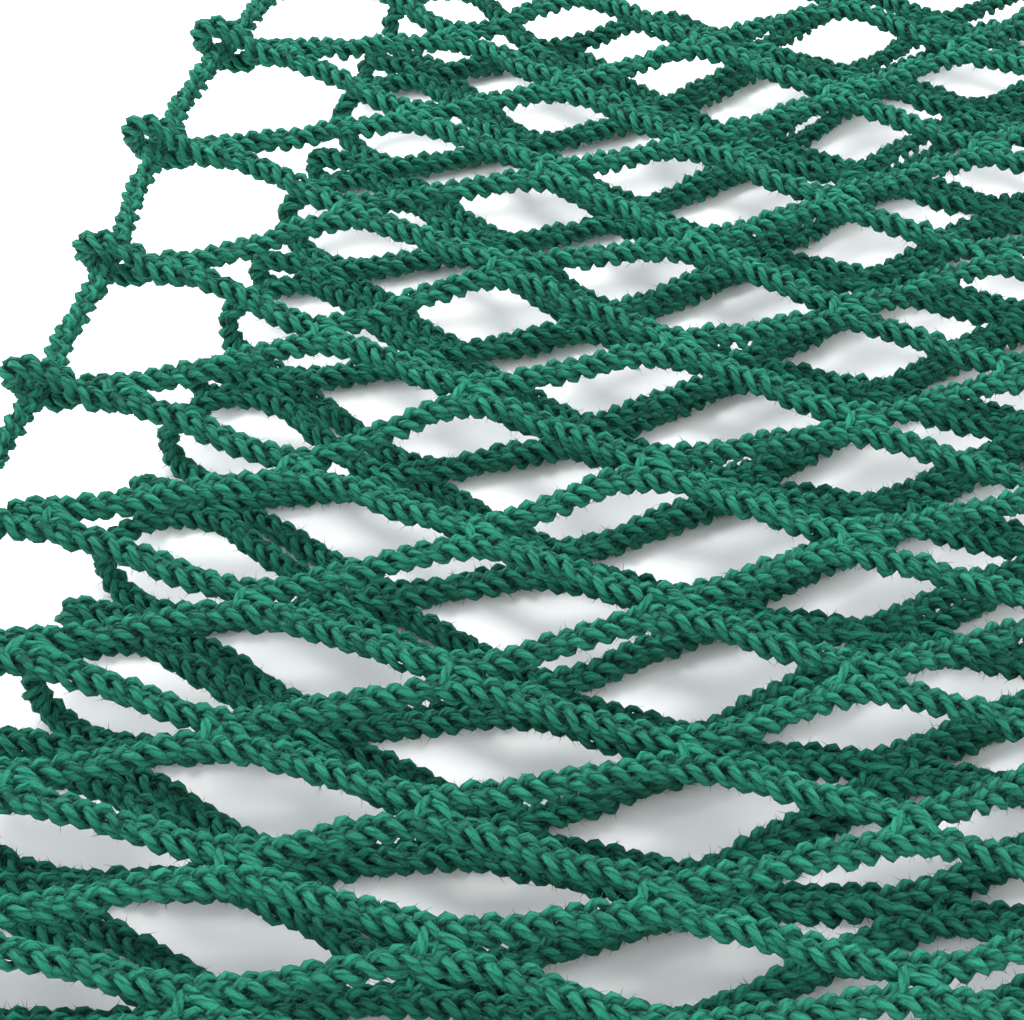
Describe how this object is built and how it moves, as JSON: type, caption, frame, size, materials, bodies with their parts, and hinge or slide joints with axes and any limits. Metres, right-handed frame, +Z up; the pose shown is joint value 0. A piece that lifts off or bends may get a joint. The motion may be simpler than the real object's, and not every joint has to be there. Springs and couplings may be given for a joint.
{
  "type": "cargo climbing net",
  "caption": "Soft knotless climbing net of thick plaited cord, folded in three layers, with a border cord and tie eyes along two edges.",
  "frame": {"origin": "middle of the folded heap's underside, on the surface that it lies on", "axes": "+X to the right along the rows of netting, +Y from the front of the heap to its back across the rows, +Z up"},
  "size_m": [0.6548, 0.981, 0.0959],
  "materials": {
    "net_cord": "matt, fuzzy plaited cord",
    "border_cord": "matt, fuzzy plaited cord",
    "whipping": "waxed twine"
  },
  "bodies": {
    "lower_layers": {"lower_cord_01": "net_cord", "lower_cord_02": "net_cord", "lower_cord_03": "net_cord", "lower_cord_04": "net_cord", "lower_cord_05": "net_cord", "lower_cord_06": "net_cord", "lower_cord_07": "net_cord", "lower_cord_08": "net_cord", "lower_cord_09": "net_cord", "lower_cord_10": "net_cord", "bottom_border_cord": "border_cord", "bottom_border_whippings": "whipping"},
    "top_layer": {"top_cord_01": "net_cord", "top_cord_02": "net_cord", "top_cord_03": "net_cord", "top_cord_04": "net_cord", "top_cord_05": "net_cord", "top_cord_06": "net_cord", "top_cord_07": "net_cord", "top_cord_08": "net_cord", "top_cord_09": "net_cord", "top_cord_10": "net_cord", "top_border_cord": "border_cord", "top_border_whippings": "whipping"}
  },
  "joints": [
    {"name": "unfold_top", "type": "hinge", "parent": "lower_layers", "child": "top_layer", "pos_m": [0.26068, 0, 0.041], "axis": [0.04, 0.9992, 0], "range_deg": [0, 110]}
  ]
}
